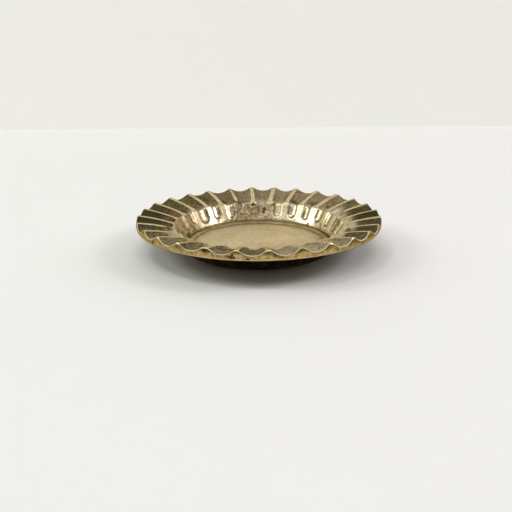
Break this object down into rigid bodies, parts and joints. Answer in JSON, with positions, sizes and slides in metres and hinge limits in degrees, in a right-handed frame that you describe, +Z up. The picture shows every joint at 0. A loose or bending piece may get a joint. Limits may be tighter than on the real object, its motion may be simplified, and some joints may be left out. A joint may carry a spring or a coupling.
{
  "type": "paten plate",
  "caption": "Small round brass paten with a fluted rim, a steep-walled well, a flat floor let in under a low bead, and a shallow foot ring.",
  "frame": {"origin": "centre of the foot ring's resting face, so the plate stands on the plane Z = 0", "axes": "+Z up along the plate's axis of revolution; +X through the middle of one flute; +Y completes the right-handed frame"},
  "size_m": [0.11, 0.11, 0.0162],
  "materials": {
    "cast_brass": "aged satin, dark in the flutes, bright on the ridges",
    "floor_brass": "satin, finely mottled",
    "bead_brass": "worn satin with dirt along both sides",
    "foot_brass": "dull, tarnished, worn where it rests"
  },
  "bodies": {
    "root": {"fluted_rim": "cast_brass", "well_disc": "floor_brass", "bead_ring": "bead_brass", "foot_ring": "foot_brass"}
  },
  "joints": []
}
